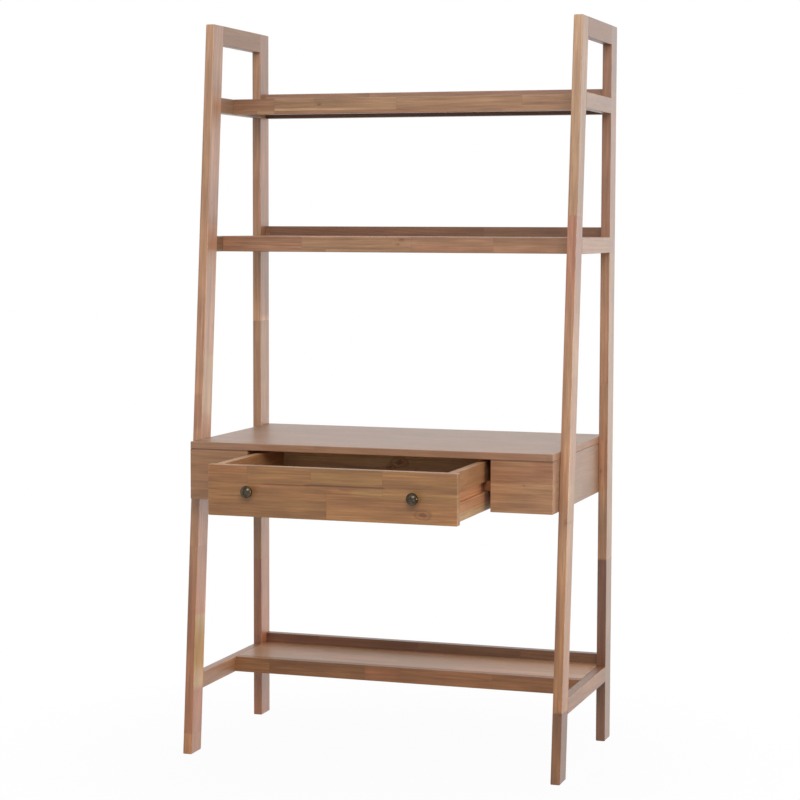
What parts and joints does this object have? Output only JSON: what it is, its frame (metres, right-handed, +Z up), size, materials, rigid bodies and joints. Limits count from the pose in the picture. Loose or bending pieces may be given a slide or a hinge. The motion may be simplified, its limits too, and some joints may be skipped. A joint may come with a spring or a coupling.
{
  "type": "wall desk",
  "caption": "Ladder-style wooden wall desk: open side frames with sloped front legs, lipped shelves above and below, and a desktop case with a wide drawer on wooden runners.",
  "frame": {"origin": "on the floor, at the centre of the base of the box round the whole desk with its drawer at the pictured part-open position", "axes": "+Z up, +X to the right as seen from the front, +Y towards the wall behind; the front faces -Y"},
  "size_m": [0.94, 0.786, 1.765],
  "materials": {
    "leg_wood": "satin lacquered hardwood",
    "rail_wood": "satin lacquered hardwood",
    "shelf_wood": "satin lacquered finger-jointed hardwood",
    "desktop_wood": "satin lacquered finger-jointed hardwood",
    "case_wood": "satin lacquered finger-jointed hardwood",
    "drawer_front_wood": "satin lacquered finger-jointed hardwood",
    "drawer_wood": "lightly lacquered hardwood",
    "drawer_bottom_wood": "plain board",
    "runner_wood": "bare planed hardwood",
    "dowel_wood": "bare turned wood",
    "knob_metal": "dark antique bronze, worn satin",
    "steel": "zinc plated"
  },
  "bodies": {
    "frame": {"front_leg_left": "leg_wood", "front_leg_right": "leg_wood", "rear_leg_left": "leg_wood", "rear_leg_right": "leg_wood", "top_rail_left": "rail_wood", "top_rail_right": "rail_wood", "upper_side_rail_left": "rail_wood", "upper_side_rail_right": "rail_wood", "middle_side_rail_left": "rail_wood", "middle_side_rail_right": "rail_wood", "lower_side_rail_left": "rail_wood", "lower_side_rail_right": "rail_wood", "upper_shelf_board": "shelf_wood", "upper_shelf_rim": "shelf_wood", "upper_shelf_back_rail": "shelf_wood", "middle_shelf_board": "shelf_wood", "middle_shelf_rim": "shelf_wood", "middle_shelf_back_rail": "shelf_wood", "lower_shelf_board": "shelf_wood", "lower_shelf_rim": "shelf_wood", "lower_shelf_back_rail": "shelf_wood", "desktop": "desktop_wood", "case_side_left": "case_wood", "case_side_right": "case_wood", "case_front_left": "case_wood", "case_front_right": "case_wood", "case_back": "case_wood", "case_divider_left": "case_wood", "case_divider_right": "case_wood", "drawer_runner_left": "runner_wood", "drawer_runner_right": "runner_wood", "shelf_dowels": "dowel_wood", "case_dowels": "dowel_wood", "frame_bolts": "steel", "runner_screws": "steel"},
    "drawer": {"drawer_front": "drawer_front_wood", "drawer_side_left": "drawer_wood", "drawer_side_right": "drawer_wood", "drawer_back": "drawer_wood", "drawer_bottom": "drawer_bottom_wood", "knob_left": "knob_metal", "knob_right": "knob_metal", "knob_screws": "steel", "drawer_dowels": "dowel_wood"}
  },
  "joints": [
    {"name": "drawer_slide", "type": "slide", "parent": "frame", "child": "drawer", "axis": [0, -1, 0], "range_m": [-0.248, 0.052]}
  ]
}
